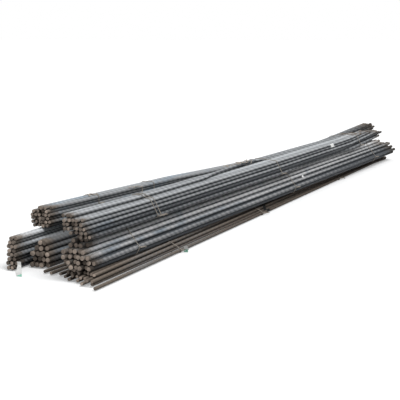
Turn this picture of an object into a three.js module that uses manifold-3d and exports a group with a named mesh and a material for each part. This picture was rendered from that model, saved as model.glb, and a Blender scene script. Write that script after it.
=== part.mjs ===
// A stack of six wire-tied bundles of reinforcing bar, all of about one stock length.
// Frame: X runs along the bars, Y across the stack, Z up; millimetres; the lowest ties touch z = 0.
import * as THREE from 'three';
import { mergeVertices } from 'three/addons/utils/BufferGeometryUtils.js';
import Module from 'manifold-3d';

const wasm = await Module();
wasm.setup();

// ---- Driving dimensions (mm) -------------------------------------------------------------
const STOCK_LENGTH = 9144;      // thirty-foot stock
const LARGE_BAR = 40;           // nominal bar diameters
const THICK_BAR = 36;
const MAIN_BAR = 32;
const MEDIUM_BAR = 28;
const SMALL_BAR = 25;
const BAR_SIDES = 8;            // facets round a bar, with flats facing up, down and sideways
const BAR_FUSE = 0.3;           // how far neighbouring bars of one row press into each other
const SEAT_GAP = 0.3;           // clearance between pieces that rest on each other
const SPLAY_END = 0.965;        // part of the length over which splayed bars come together
const TIE_WIRE = 6;             // diameter of the tie wire
const TIE_CHAMFER = 1.7;        // corner cut that rounds the wire's section
const TAIL_LENGTH = 70;         // twisted tail where a tie's two ends meet
const TAIL_TURNS = 1.5;
const TAIL_SPREAD = 12;         // degrees that a tail stands off the bars
const TIE_STIFFNESS = 16;       // the wire bridges bends that are closer together than this
const TIE_SHARPEST = 108;       // degrees; sharper corners than this aren't bridged
const STRAND_WAIST = 0.5;       // two twisted strands' outline, in wire diameters
const STRAND_HALF = 0.45;
const TAG_THICKNESS = 1.6;      // card, with the dirt on it
const TAG_WIDTH = 38;           // card threaded on a tie's tail
const TAG_HEIGHT = 48;
const TAG_FOOT = 16;            // from the card's lower edge to its hole
const TAG_HOLE_ROOM = 0.5;      // how loosely the hole fits the tail
const TAG_RIM = 3;              // card left beside the hole
const TAG_PLACE = 0.3;          // where along the tail the card hangs
const LABEL_TOP = 30;           // widths of the long label's two ends
const LABEL_BOTTOM = 44;
const LABEL_HANG = { side: 22, height: 66 };               // from the bar's centre, above z = 0
const LABEL_FOLD = { along: 2, side: 4, drop: 0.6, flare: 0.5 };
const LABEL_KNEE = { along: 100, side: 52, height: 5, underside: 0.5 };
const LABEL_TIP = { along: 195, side: 106 };
const TIE_ROOM = TIE_WIRE + 2 * SEAT_GAP;   // height that a tie takes up between two bundles

// ---- Finishes ----------------------------------------------------------------------------
const FINISH = {
  scaleGrey: { color: 0x6f7271, roughness: 0.62, metalness: 0.55 },
  scaleBlue: { color: 0x686f74, roughness: 0.58, metalness: 0.6 },
  darkScale: { color: 0x55595a, roughness: 0.66, metalness: 0.5 },
  rustBrown: { color: 0x6d625a, roughness: 0.78, metalness: 0.35 },
  wire: { color: 0x5d564f, roughness: 0.7, metalness: 0.5 },
  card: { color: 0xdfe5e2, roughness: 0.85, metalness: 0 },
};

// ---- Bundles -----------------------------------------------------------------------------
// near is where the bars start, from the near end of middle_front. rows run from the bottom up:
// how many bars, where the row's right-hand edge lies across the stack, how far the whole row has
// slid along and how far apart its near ends are spread (splay). path gives the sideways drift and
// rise at stations along the bars, and drift shifts the far end alone. lift loosens the near ends,
// row by row, as far as the path's second station. Rows that are crossed lie at a slight angle to
// the ones below, so they rest on the bars' crowns. skew, ragged and raggedFar step the bars' ends,
// and far tells how much further a row reaches at its far end. A row that slips crosses over the
// row below, between the first two places, and comes down beside it by the third. A bundle that
// meets another swings over from its path's second station, until the named row lies against the
// other's far end. ties are the places of the wire ties.
const BUNDLES = [
  {
    name: 'bottom_front', bar: SMALL_BAR, finish: 'rustBrown', near: -170, crossed: true,
    rows: [
      { bars: 9, edge: -119, splay: 51, far: 250 }, { bars: 8, edge: -57, splay: 18, slide: 59 },
      { bars: 8, edge: -33, splay: 9, slide: 112 },
    ],
    drift: 213, skew: 0.7, ragged: 40, raggedFar: 100,
    ties: [1395, 3590, 6650],
  },
  {
    name: 'middle_front', bar: THICK_BAR, finish: 'scaleGrey', near: 0, restsOn: 'bottom_front',
    rows: [
      { bars: 5, edge: 8, far: 50 }, { bars: 7, edge: -10, far: 100 },
      { bars: 6, edge: 26, far: 100 }, { bars: 5, edge: 62, far: 80 },
      { bars: 4, edge: 80, slide: 90, far: -360 }, { bars: 3, edge: 98, slide: 100, far: -380 },
    ],
    ragged: 30, raggedFar: 60,
    ties: [740, 4680, 8100],
  },
  {
    name: 'top_front', bar: MEDIUM_BAR, finish: 'scaleBlue', near: -20, restsOn: 'middle_front',
    rows: [
      { bars: 4, edge: 16, far: -200 }, { bars: 5, edge: 30, far: 50 },
      { bars: 6, edge: 44, far: -150 }, { bars: 6, edge: 58, far: -550 },
      { bars: 5, edge: 72, far: -1150 },
      { bars: 3, edge: 142, far: -1250, crossed: true, slips: [2600, 4100, 4500] },
    ],
    path: [[0, 0, 0], [1150, 0, 0], [4600, 0, 0], [7200, 30, 0], [8950, 118, 22]],
    lift: 2, ragged: 30, raggedFar: 80,
    ties: [1150, 1210, 4290, 7660],
  },
  {
    name: 'lower_middle', bar: LARGE_BAR, finish: 'darkScale', near: 400,
    rows: [
      { bars: 4, edge: 545 }, { bars: 4, edge: 533 }, { bars: 4, edge: 537 },
      { bars: 3, edge: 548 }, { bars: 2, edge: 563 },
    ],
    path: [[0, 0, 0], [4900, 0, 0], [9700, 0, 0]], meets: { other: 'bottom_front', row: 1 },
    drift: -52.2, ragged: 25, raggedFar: 60,
    ties: [1350, 4900, 8450],
  },
  {
    name: 'lower_rear', bar: MAIN_BAR, finish: 'darkScale', near: 255,
    rows: [
      { bars: 2, edge: 741 }, { bars: 3, edge: 725 }, { bars: 2, edge: 741 }, { bars: 3, edge: 725 },
      { bars: 2, edge: 741 }, { bars: 3, edge: 725 }, { bars: 2, edge: 741 }, { bars: 2, edge: 725 },
    ],
    drift: 90, ragged: 22, raggedFar: 60,
    ties: [1000, 4500, 8100],
  },
  {
    name: 'top_rear', bar: MEDIUM_BAR, finish: 'scaleGrey', near: 680, restsOn: 'lower_rear',
    rows: [
      { bars: 5, edge: 685, far: -900 }, { bars: 6, edge: 671, far: -600 },
      { bars: 6, edge: 685, far: -220 }, { bars: 6, edge: 671, far: -150 },
      { bars: 5, edge: 685, far: -230 }, { bars: 4, edge: 671, far: -400 },
    ],
    path: [[680, 0, 0], [2800, -130, 0], [5000, -212, -42], [7400, -265, -30], [9680, -300, 57]],
    ragged: 25, raggedFar: 60,
    ties: [1405, 2380, 4550, 7880],
  },
];

// ---- Small helpers -----------------------------------------------------------------------

/** A repeatable value between -1 and 1 for a pair of whole numbers. */
function scatter(a, b) {
  const wave = Math.sin(a * 127.1 + b * 311.7) * 43758.5453;
  return 2 * (wave - Math.floor(wave)) - 1;
}

/** Reads [y, z] off a list of [x, y, z] stations, straight between them. */
function offsetAt(path, x) {
  if (!path) return [0, 0];
  for (let i = 1; i < path.length; i++) {
    const [x0, y0, z0] = path[i - 1];
    const [x1, y1, z1] = path[i];
    if (x <= x1 || i === path.length - 1) {
      const t = (x - x0) / (x1 - x0);
      return [y0 + (y1 - y0) * t, z0 + (z1 - z0) * t];
    }
  }
  return [0, 0];
}

/** Turns a closed three.js geometry into a solid. */
function toSolid(geometry) {
  geometry.deleteAttribute('normal');
  geometry.deleteAttribute('uv');
  const merged = mergeVertices(geometry, 1e-4);
  return new wasm.Manifold(new wasm.Mesh({
    numProp: 3,
    vertProperties: new Float32Array(merged.attributes.position.array),
    triVerts: new Uint32Array(merged.index.array),
  }));
}

/** Turns a solid back into a three.js geometry. */
function toGeometry(solid) {
  const mesh = solid.getMesh();
  const geometry = new THREE.BufferGeometry();
  geometry.setAttribute('position', new THREE.BufferAttribute(mesh.vertProperties, 3));
  geometry.setIndex(new THREE.BufferAttribute(mesh.triVerts, 1));
  geometry.computeVertexNormals();
  return geometry;
}

/** Joins solids that touch into one. */
function fuse(solids) {
  return solids.reduce((whole, next) => whole.add(next));
}

/** Lays a shape drawn across the stack (x across, y up) with its depth along the bars. */
function alongBars(geometry) {
  const basis = new THREE.Matrix4().makeBasis(
    new THREE.Vector3(0, 1, 0), new THREE.Vector3(0, 0, 1), new THREE.Vector3(1, 0, 0));
  return geometry.applyMatrix4(basis);
}

// ---- Bars --------------------------------------------------------------------------------

/** The corners of a bar's section, a regular polygon standing on a flat. */
function barSection(diameter) {
  const corner = diameter / 2 / Math.cos(Math.PI / BAR_SIDES);
  return Array.from({ length: BAR_SIDES }, (_, i) => {
    const angle = (2 * i + 1) * Math.PI / BAR_SIDES;
    return new THREE.Vector2(corner * Math.cos(angle), corner * Math.sin(angle));
  });
}

/** How far a row rises above the one below when it is shifted sideways by `shift`. */
function rowRise(diameter, pitch, shift) {
  const side = Math.abs(shift) % pitch;
  const nearest = Math.min(side, pitch - side);
  const flat = diameter * Math.tan(Math.PI / BAR_SIDES);
  const rise = nearest < flat ? diameter : Math.SQRT2 * diameter - nearest;
  return rise + SEAT_GAP * Math.SQRT2;
}

/** One straight or gently bowed bar from x0 to x1; centreAt(x) gives its [y, z]. */
function barSolid(diameter, x0, x1, stations, centreAt) {
  const rings = [x0, ...stations.filter((x) => x > x0 + 1 && x < x1 - 1), x1];
  const depth = rings.length - 1;
  const shape = new THREE.Shape(barSection(diameter));
  const geometry = alongBars(
    new THREE.ExtrudeGeometry(shape, { depth, steps: depth, bevelEnabled: false }));
  const position = geometry.attributes.position;
  for (let i = 0; i < position.count; i++) {
    const x = rings[Math.round(position.getX(i))];
    const [y, z] = centreAt(x);
    position.setXYZ(i, x, position.getY(i) + y, position.getZ(i) + z);
  }
  return toSolid(geometry);
}

/** The heights of a bundle's rows, from the bottom up. */
function rowLevels(bundle, pitch, restHeight) {
  const levels = [restHeight + bundle.bar / 2];
  bundle.rows.slice(1).forEach((row, r) => {
    const shift = bundle.crossed || row.crossed ? 0 : row.edge - bundle.rows[r].edge;
    levels.push(levels[r] + rowRise(bundle.bar, pitch, shift));
  });
  return levels;
}

/** The way that a row takes over the row below and down beside it, as stations along the bars. */
function slipPath(row, below, pitch, drop) {
  if (!row.slips) return undefined;
  const [start, over, down] = row.slips;
  const aside = below.edge + below.bars * pitch + BAR_FUSE + SEAT_GAP - row.edge;
  return [[0, 0, 0], [start, 0, 0], [over, aside, 0], [down, aside, -drop], [STOCK_LENGTH, aside, -drop]];
}

/** The path of a bundle, swung over at its end where it meets another bundle. */
function pathOf(bundle, laid) {
  if (!bundle.meets) return bundle.path;
  const other = laid[bundle.meets.other];
  const bar = other.rows[other.rows.length - 1].slice(-1)[0];
  const side = bar.centreAt(bar.farX)[0] + other.bar / 2 + SEAT_GAP;
  const run = (bar.farX - bundle.near) / STOCK_LENGTH;
  const reach = side - bundle.rows[bundle.meets.row].edge - bundle.drift * run;
  const [start, bend, end] = bundle.path;
  const share = (bar.farX - bend[0]) / (end[0] - bend[0]);
  return [start, bend, [end[0], reach / share, end[2]]];
}

/** Works out where each bar of a bundle lies. */
function layOut(bundle, index, restHeight) {
  const pitch = bundle.bar - BAR_FUSE;
  const { path, drift = 0, skew = 0, lift = 0, ragged = 0, raggedFar = 0 } = bundle;
  const liftEnd = path ? path[1][0] : STOCK_LENGTH;
  const levels = rowLevels(bundle, pitch, restHeight);
  const rows = bundle.rows.map((row, r) => {
    const { splay = 0, slide = 0, far = 0 } = row;
    const slip = slipPath(row, bundle.rows[r - 1], pitch, levels[r] - levels[r - 1]);
    return Array.from({ length: row.bars }, (_, i) => {
      const farY = row.edge + bundle.bar / 2 + i * pitch;
      const nearX = bundle.near + slide + skew * i * (pitch + splay)
        + ragged * scatter(index * 10 + r, i);
      const farX = nearX - slide + STOCK_LENGTH + far + raggedFar * scatter(index * 10 + r + 5, i);
      const centreAt = (x) => {
        const [dy, dz] = offsetAt(path, x);
        const [aside, down] = offsetAt(slip, x);
        const run = (x - bundle.near) / STOCK_LENGTH;
        const spread = i * splay * (1 - run / SPLAY_END);
        const loose = lift * r * Math.max(0, 1 - x / liftEnd);
        return [farY + drift * run + spread + dy + aside, levels[r] + dz + loose + down];
      };
      return { nearX, farX, slip, centreAt };
    });
  });
  return { rows, bar: bundle.bar, top: levels[levels.length - 1] + bundle.bar / 2 };
}

/** One row of bars as a solid: bars side by side, with the grooves between them. */
function rowSolid(bundle, bars) {
  const places = [...(bundle.path ?? []), ...(bars[0].slip ?? [])].map(([x]) => x);
  const stations = [...new Set(places)].sort((a, b) => a - b);
  return fuse(bars.map((bar) => barSolid(bundle.bar, bar.nearX, bar.farX, stations, bar.centreAt)));
}

// ---- Wire ties ---------------------------------------------------------------------------

/** Convex outline round a set of points, anticlockwise. */
function outlineOf(points) {
  const sorted = [...points].sort((a, b) => a.x - b.x || a.y - b.y);
  const turn = (a, b, c) => (b.x - a.x) * (c.y - a.y) - (b.y - a.y) * (c.x - a.x);
  const half = (list) => {
    const hull = [];
    for (const p of list) {
      while (hull.length > 1 && turn(hull[hull.length - 2], hull[hull.length - 1], p) <= 1) hull.pop();
      hull.push(p);
    }
    return hull.slice(0, -1);
  };
  return [...half(sorted), ...half(sorted.reverse())];
}

/** Moves each side of an anticlockwise outline outwards. */
function grown(outline, distance) {
  return outline.map((p, i) => {
    const before = outline[(i + outline.length - 1) % outline.length];
    const after = outline[(i + 1) % outline.length];
    const inward = new THREE.Vector2().subVectors(p, before).normalize();
    const outward = new THREE.Vector2().subVectors(after, p).normalize();
    const n1 = new THREE.Vector2(inward.y, -inward.x);
    const n2 = new THREE.Vector2(outward.y, -outward.x);
    const middle = n1.clone().add(n2).normalize();
    return p.clone().addScaledVector(middle, distance / middle.dot(n1));
  });
}

/** Straightens an outline's short sides by running their neighbours on until they meet. */
function bridged(outline) {
  const points = [...outline];
  for (let i = 0; i < points.length && points.length > 4;) {
    const [a, b, c, d] = [0, 1, 2, 3].map((k) => points[(i + k) % points.length]);
    const before = new THREE.Vector2().subVectors(b, a);
    const after = new THREE.Vector2().subVectors(d, c);
    const bend = before.x * after.y - before.y * after.x;
    const turned = before.angleTo(after);
    if (b.distanceTo(c) < TIE_STIFFNESS && turned < THREE.MathUtils.degToRad(TIE_SHARPEST) && bend > 0) {
      const run = ((c.x - b.x) * after.y - (c.y - b.y) * after.x) / bend;
      const corner = b.clone().addScaledVector(before, run);
      const drop = [(i + 1) % points.length, (i + 2) % points.length];
      points[drop[0]] = corner;
      points.splice(drop[1], 1);
    } else {
      i++;
    }
  }
  return points;
}

/** The twisted tail of a tie: two strands wound round each other, drawn along Z. */
function tailSolid() {
  const strands = new THREE.Shape([
    [-1, 0], [-STRAND_WAIST, -STRAND_HALF], [STRAND_WAIST, -STRAND_HALF],
    [1, 0], [STRAND_WAIST, STRAND_HALF], [-STRAND_WAIST, STRAND_HALF],
  ].map(([x, y]) => new THREE.Vector2(x * TIE_WIRE, y * TIE_WIRE)));
  const steps = 4 * TAIL_TURNS;
  const geometry = new THREE.ExtrudeGeometry(strands, { depth: TAIL_LENGTH, steps, bevelEnabled: false });
  const position = geometry.attributes.position;
  for (let i = 0; i < position.count; i++) {
    const angle = (position.getZ(i) / TAIL_LENGTH) * TAIL_TURNS * Math.PI;
    const [x, y] = [position.getX(i), position.getY(i)];
    position.setXY(i, x * Math.cos(angle) - y * Math.sin(angle), x * Math.sin(angle) + y * Math.cos(angle));
  }
  return toSolid(geometry);
}

/** Turns something drawn along Z to run along the bars, standing off them a little. */
function alongTail(solid, [x, y, z]) {
  return solid.rotate([0, 90, 0]).rotate([0, 0, -TAIL_SPREAD]).translate([x, y, z]);
}

/** A loop of wire drawn tight round a bundle at x, closed by a twisted tail on its right side. */
function tieSolid(bundle, rows, x) {
  const section = barSection(bundle.bar);
  const corners = rows.flat().filter((bar) => bar.nearX < x && bar.farX > x).flatMap((bar) => {
    const [y, z] = bar.centreAt(x);
    return section.map((p) => new THREE.Vector2(p.x + y, p.y + z));
  });
  const bars = bridged(outlineOf(corners));
  const ring = new THREE.Shape(grown(bars, SEAT_GAP + TIE_WIRE - TIE_CHAMFER));
  ring.holes.push(new THREE.Path(grown(bars, SEAT_GAP + TIE_CHAMFER).reverse()));
  const loop = alongBars(new THREE.ExtrudeGeometry(ring, {
    depth: TIE_WIRE - 2 * TIE_CHAMFER, steps: 1, bevelEnabled: true, bevelSegments: 1,
    bevelThickness: TIE_CHAMFER, bevelSize: TIE_CHAMFER,
  }));
  loop.translate(x - TIE_WIRE / 2 + TIE_CHAMFER, 0, 0);
  const right = Math.min(...bars.map((p) => p.x));
  const flank = bars.filter((p) => p.x < right + 1).map((p) => p.y);
  const height = (Math.min(...flank) + Math.max(...flank)) / 2;
  const root = [x - TIE_WIRE / 2, right - SEAT_GAP - TIE_WIRE, height];
  return { root, solid: toSolid(loop).add(alongTail(tailSolid(), root)) };
}

// ---- Tags --------------------------------------------------------------------------------

/** A bare card threaded on a tie's tail, standing on its lower edge beside the bars. */
function tagSolid(root) {
  const hole = TIE_WIRE + TAG_HOLE_ROOM;
  const inner = hole + TAG_RIM;
  const card = new THREE.Shape([
    new THREE.Vector2(TAG_FOOT, inner), new THREE.Vector2(TAG_FOOT - TAG_HEIGHT, inner),
    new THREE.Vector2(TAG_FOOT - TAG_HEIGHT, inner - TAG_WIDTH),
    new THREE.Vector2(TAG_FOOT, inner - TAG_WIDTH),
  ]);
  card.holes.push(new THREE.Path(barSection(2 * hole)));
  const geometry = new THREE.ExtrudeGeometry(card, { depth: TAG_THICKNESS, bevelEnabled: false });
  geometry.translate(0, 0, TAIL_LENGTH * TAG_PLACE);
  return alongTail(toSolid(geometry), root);
}

/** A bare label that hangs from the end of a bar and trails over the floor. */
function labelSolid(endX, barY) {
  const y = barY - LABEL_HANG.side;
  const [upper, lower] = [LABEL_TOP / 2, LABEL_BOTTOM / 2];
  const stations = [
    { at: [endX - SEAT_GAP, y, LABEL_HANG.height], half: upper, skin: [-TAG_THICKNESS, 0] },
    {
      at: [endX - LABEL_FOLD.along, y - LABEL_FOLD.side, LABEL_HANG.height * LABEL_FOLD.drop],
      half: upper, skin: [-TAG_THICKNESS, LABEL_FOLD.flare],
    },
    {
      at: [endX - LABEL_KNEE.along, y - LABEL_KNEE.side, LABEL_KNEE.height],
      half: lower, skin: [-LABEL_KNEE.underside, TAG_THICKNESS],
    },
    { at: [endX - LABEL_TIP.along, y - LABEL_TIP.side, 0], half: lower, skin: [0, TAG_THICKNESS] },
  ];
  const geometry = new THREE.BoxGeometry(1, 1, 1, stations.length - 1, 1, 1);
  const position = geometry.attributes.position;
  for (let i = 0; i < position.count; i++) {
    const { at, half, skin } = stations[Math.round((position.getX(i) + 0.5) * (stations.length - 1))];
    const outer = position.getZ(i) > 0 ? 1 : 0;
    const side = Math.sign(position.getY(i));
    position.setXYZ(i, at[0] + outer * skin[0], at[1] - side * half, at[2] + outer * skin[1]);
  }
  return toSolid(geometry);
}

// ---- Assembly ----------------------------------------------------------------------------

const stack = new THREE.Group();

function addPiece(name, solid, finish) {
  const mesh = new THREE.Mesh(toGeometry(solid), new THREE.MeshStandardMaterial(FINISH[finish]));
  mesh.name = name;
  stack.add(mesh);
}

const laid = {};
BUNDLES.forEach((entry, index) => {
  const bundle = { ...entry, path: pathOf(entry, laid) };
  const base = bundle.restsOn ? laid[bundle.restsOn].top + SEAT_GAP : 0;
  const layout = layOut(bundle, index, base + TIE_ROOM - (bundle.restsOn ? 0 : SEAT_GAP));
  laid[bundle.name] = layout;
  layout.rows.forEach((bars, r) => {
    addPiece(`${bundle.name}_row_${r + 1}`, rowSolid(bundle, bars), bundle.finish);
  });
  layout.tails = bundle.ties.map((x, t) => {
    const { root, solid } = tieSolid(bundle, layout.rows, x);
    addPiece(`${bundle.name}_tie_${t + 1}`, solid, 'wire');
    return root;
  });
});
addPiece('bottom_front_tag', tagSolid(laid.bottom_front.tails[0]), 'card');
const hanger = laid.lower_rear.rows[1][0];
addPiece('lower_rear_label', labelSolid(hanger.nearX, hanger.centreAt(hanger.nearX)[0]), 'card');

// The frame's origin is under the middle of the stack.
const extent = new THREE.Box3().setFromObject(stack);
const middle = extent.getCenter(new THREE.Vector3());
stack.position.set(-middle.x, -middle.y, -extent.min.z);

const part = new THREE.Group();
part.add(stack);

export default part;
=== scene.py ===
# Ribbed bars, wire ties, tags and a plain studio for a packed stack of reinforcing-bar bundles.
# Metres throughout; X runs along the bars, Y across the stack, Z up.
import math
import random

import bpy
import numpy as np
from mathutils import Matrix, Vector


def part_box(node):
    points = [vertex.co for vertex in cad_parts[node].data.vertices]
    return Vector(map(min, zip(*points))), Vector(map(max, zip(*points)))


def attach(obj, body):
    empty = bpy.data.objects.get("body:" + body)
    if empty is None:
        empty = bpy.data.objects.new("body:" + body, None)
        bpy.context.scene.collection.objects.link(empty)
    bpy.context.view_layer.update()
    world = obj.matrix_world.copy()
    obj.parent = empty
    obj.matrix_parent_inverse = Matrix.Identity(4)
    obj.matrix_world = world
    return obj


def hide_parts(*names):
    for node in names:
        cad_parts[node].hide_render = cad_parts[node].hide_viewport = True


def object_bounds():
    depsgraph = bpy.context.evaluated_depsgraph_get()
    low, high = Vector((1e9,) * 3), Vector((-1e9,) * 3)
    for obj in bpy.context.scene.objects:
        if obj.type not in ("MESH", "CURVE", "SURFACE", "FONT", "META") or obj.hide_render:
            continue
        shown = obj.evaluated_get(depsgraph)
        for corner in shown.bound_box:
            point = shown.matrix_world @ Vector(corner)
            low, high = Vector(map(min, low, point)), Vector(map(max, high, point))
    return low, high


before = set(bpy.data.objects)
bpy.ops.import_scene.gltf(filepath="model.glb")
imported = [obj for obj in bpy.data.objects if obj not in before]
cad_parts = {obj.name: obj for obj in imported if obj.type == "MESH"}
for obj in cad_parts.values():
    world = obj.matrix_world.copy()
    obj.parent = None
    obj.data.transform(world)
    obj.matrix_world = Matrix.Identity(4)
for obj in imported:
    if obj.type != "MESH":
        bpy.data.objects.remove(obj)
CAD_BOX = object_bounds()

bl_info = {
    "name": "Reinforcing bar stack",
    "version": (1, 0, 0),
    "blender": (4, 5, 0),
    "location": "View3D > Sidebar > Bar stack",
    "description": "Dresses a packed stack of bar bundles with ribbed bars, wire ties and tags",
    "category": "Object",
}

ROWS = sorted(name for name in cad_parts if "_row_" in name)
TIES = sorted(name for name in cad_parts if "_tie_" in name)
BUNDLES = sorted({name.split("_row_")[0] for name in ROWS})

STACK_LENGTH = CAD_BOX[1][0] - CAD_BOX[0][0]

SAME_PLACE = 1e-5       # points of a row that are no further apart along it lie in one ring
END_CLEAR = 0.001       # rings nearer than this to a bar's end aren't bends of its centre line
COVERED = 0.7           # a bar this many diameters or less to the side, one row up, covers a bar

SECTIONS = 16           # lengths that a bar's wall is cut into, so that it can bow
CHAMFER = 0.05          # cut-back edge of a bar's end, as a share of its diameter
CROWN = 0.98            # share of the radius past which a corner lies on a lengthways ridge
RIDGE_HEIGHT = 0.9      # height of the lengthways ridges, as a share of a rib's
END_RIBS = 7            # ribs on the sheltered side of a bar, at each end
RIB_ARC = math.radians(152)
RIB_STEPS = 4
RIB_SUNK = 0.03         # how deep a rib's foot is set into the bar, as a share of its diameter
RIB_TIP = 0.8           # share of a rib's reach past which it is drawn to a point
TRIANGLE_HEIGHT = 1.5   # height and side of a triangle in a circle of radius 1
TRIANGLE_SIDE = 1.732
ROLL_SPREAD = 0.35      # how far the ribs of an exposed bar are turned from the way it looks
END_SHARE = 0.0006      # share of a bar's length that counts as its end face
# The waves in which a bar wanders from its line, two sideways and two up and down: size, count.
SWAY_WAVES = ((0.6, 1.5), (0.4, 4), (0.35, 2.5), (0.25, 5))
WAVE_TURN = 6.28        # largest start of such a wave
RIB_LIFT = 0.001        # how far ribs hold off what lies on the bars
GAP_SHADE_FALLOFF = 2.2       # how fast the painted shade darkens the steel towards the bars that it touches

BAND_PITCH = 0.046      # distance between the bands of painted rib shade and wear at the near end of the stack
BAND_SPREAD = 0.017     # how much that grows with each metre along
BAND_LEAN = 1.5         # how far a band runs along the bar as it goes down its side
CREST_HIGHLIGHT = 0.26       # how much lighter a rib's crest is, a painted highlight, less on steel that is light anyway
TONE_MIDDLE = 0.41      # sum of the parts of the tone that gives the darkest scale
TONE_CONTRAST = 0.78    # how much of the way to the lightest scale each step above it goes
LIT_ROW = 0.8           # share of a bundle's rows below which they are painted darker and above it lighter, as painted shade and light
# The dark mark on the bottom front bundle: a place on it in X and Y, how far it runs along the bars
# for each metre across them, and its width.
MARK_PLACE = (-0.88, -0.31)
MARK_SLANT = 1.0
MARK_WIDTH = 0.085

WIRE_RADIUS = 0.003
WIRE_CLEARANCE = 0.0003
LOOP_STEPS = 24         # points round each bar that a tie's loop is drawn over
LOOP_KINK = 0.0006      # how far a loop strays to either side where it bends
SPAN_KINK = 0.0012      # and in between
SPAN_STEP = 0.045       # longest stretch of a loop between two of its points
TAIL_STEPS = 24
TAIL_TURNS = 2.5
TAIL_SPLAY = 0.82       # share of a tail past which its two strands part
TAIL_DEPTH = 0.002      # how much of the tail of a tie counts as its tip
# Loose wires: where each starts and ends in X and Y, how wide it curls and how often.
LOOSE_WIRES = (
    ((-1.50, -0.15), (-0.80, -0.18), 0.018, 7),
    ((-1.25, -0.17), (-0.85, -0.15), 0.012, 4),
    ((-3.46, 0.30), (-3.28, 0.27), 0.016, 2),
    ((-2.84, 0.20), (-2.58, 0.17), 0.014, 2),
)
CURL_STEPS = 14         # points in each turn of a loose wire
CURL_SPRING = 0.006     # half of how high a loose wire springs up between the bars it lies on
# Scraps of card: the bundle each lies on, and where it begins and ends in X and in Y.
SCRAPS = (
    ("top_front", (1.58, 1.72), (-0.313, -0.294)),
    ("middle_front", (0.34, 0.40), (-0.352, -0.334)),
)
SCRAP_CELLS = (8, 6)
SCRAP_THICKNESS = 0.001

FLOOR_SIZE = 400.0
FLOOR_DROP = 0.0005     # how far the floor lies below the stack
FLOOR_GLOW = 0.25
SKY_TINT = (0.97, 0.985, 1.0, 1.0)
LAMP_SPREAD = math.radians(35)
LAMP_DIRECTION = (-0.40, -0.62, 1.0)
CAMERA_OFFSET = (-7.878, -3.840, 1.712)     # from the foot of middle_front's near front corner
CAMERA_HEADING = math.radians(20.89)
CAMERA_DIP = math.radians(7.408)
CAMERA_ROLL = math.radians(0.1)
CAMERA_SENSOR = 36.0


# ---- Settings ----------------------------------------------------------------------------


class StackBarSettings(bpy.types.PropertyGroup):
    """The form of the ribbed bars"""

    sides: bpy.props.IntProperty(
        name="Sides", description="Faces round a bar", default=12, min=8, max=24)
    core: bpy.props.FloatProperty(
        name="Core", description="Diameter between the ribs, as a share of the nominal diameter",
        default=0.945, min=0.8, max=1.0, subtype="FACTOR")
    rib_height: bpy.props.FloatProperty(
        name="Rib height", description="Height of a rib, as a share of the nominal diameter",
        default=0.065, min=0.0, max=0.1, subtype="FACTOR")
    rib_pitch: bpy.props.FloatProperty(
        name="Rib pitch", description="Distance between ribs, as a share of the nominal diameter",
        default=0.7, min=0.4, max=1.2, subtype="FACTOR")
    rib_lean: bpy.props.FloatProperty(
        name="Rib lean", description="Angle that the ribs lean from square across the bar",
        default=math.radians(28), min=0.0, max=math.radians(50), subtype="ANGLE")
    rib_width: bpy.props.FloatProperty(
        name="Rib width", description="Width of a rib's foot, as a share of the distance between ribs",
        default=0.45, min=0.2, max=0.7, subtype="FACTOR")
    sway: bpy.props.FloatProperty(
        name="Sway", description="How far a bar wanders from its line",
        default=0.0012, min=0.0, max=0.005, subtype="DISTANCE", unit="LENGTH")
    shear: bpy.props.FloatProperty(
        name="End slant", description="Largest slant of a cropped end face",
        default=math.radians(13), min=0.0, max=math.radians(30), subtype="ANGLE")


class StackFinishSettings(bpy.types.PropertyGroup):
    """The colours of the steel, the wire and the card"""

    scale_dark: bpy.props.FloatVectorProperty(
        name="Dark scale", description="Darkest tone of the mill scale", subtype="COLOR",
        size=3, min=0.0, max=1.0, default=(0.050, 0.055, 0.061))
    scale_light: bpy.props.FloatVectorProperty(
        name="Light scale", description="Lightest tone of the mill scale", subtype="COLOR",
        size=3, min=0.0, max=1.0, default=(0.72, 0.745, 0.765))
    temper: bpy.props.FloatVectorProperty(
        name="Temper blue", description="Bluish patches in the scale", subtype="COLOR",
        size=3, min=0.0, max=1.0, default=(0.22, 0.285, 0.345))
    rust: bpy.props.FloatVectorProperty(
        name="Rust", description="Thin rust on the scale", subtype="COLOR",
        size=3, min=0.0, max=1.0, default=(0.215, 0.172, 0.135))
    cut_face: bpy.props.FloatVectorProperty(
        name="Cut face", description="Rusted steel of a cropped end", subtype="COLOR",
        size=3, min=0.0, max=1.0, default=(0.33, 0.267, 0.22))
    wire: bpy.props.FloatVectorProperty(
        name="Tie wire", description="Annealed wire with light rust", subtype="COLOR",
        size=3, min=0.0, max=1.0, default=(0.31, 0.275, 0.235))
    card: bpy.props.FloatVectorProperty(
        name="Card", description="White side of the tags", subtype="COLOR",
        size=3, min=0.0, max=1.0, default=(0.92, 0.92, 0.90))
    card_back: bpy.props.FloatVectorProperty(
        name="Card back", description="Green part of the tags", subtype="COLOR",
        size=3, min=0.0, max=1.0, default=(0.32, 0.70, 0.53))


class StackStudioSettings(bpy.types.PropertyGroup):
    """Floor, light and camera"""

    floor: bpy.props.FloatVectorProperty(
        name="Floor", description="Colour of the floor", subtype="COLOR",
        size=3, min=0.0, max=1.0, default=(0.95, 0.95, 0.95))
    ground: bpy.props.FloatProperty(
        name="Ground", description="How much light the floor throws back on to the stack",
        default=0.16, min=0.0, max=1.0, subtype="FACTOR")
    sky: bpy.props.FloatProperty(
        name="Sky", description="Strength of the even light from all round",
        default=0.45, min=0.0, max=2.0)
    lamp: bpy.props.FloatProperty(
        name="Lamp", description="Strength of the soft lamp overhead",
        default=1.95, min=0.0, max=6.0)
    lens: bpy.props.FloatProperty(
        name="Lens", description="Focal length of the camera",
        default=118.1, min=20.0, max=300.0, unit="CAMERA")


# ---- Small helpers -----------------------------------------------------------------------


def pick(*objects):
    """Selects these objects only and makes the first one active."""
    bpy.ops.object.select_all(action="DESELECT")
    for thing in objects:
        thing.select_set(True)
    bpy.context.view_layer.objects.active = objects[0]


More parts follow.
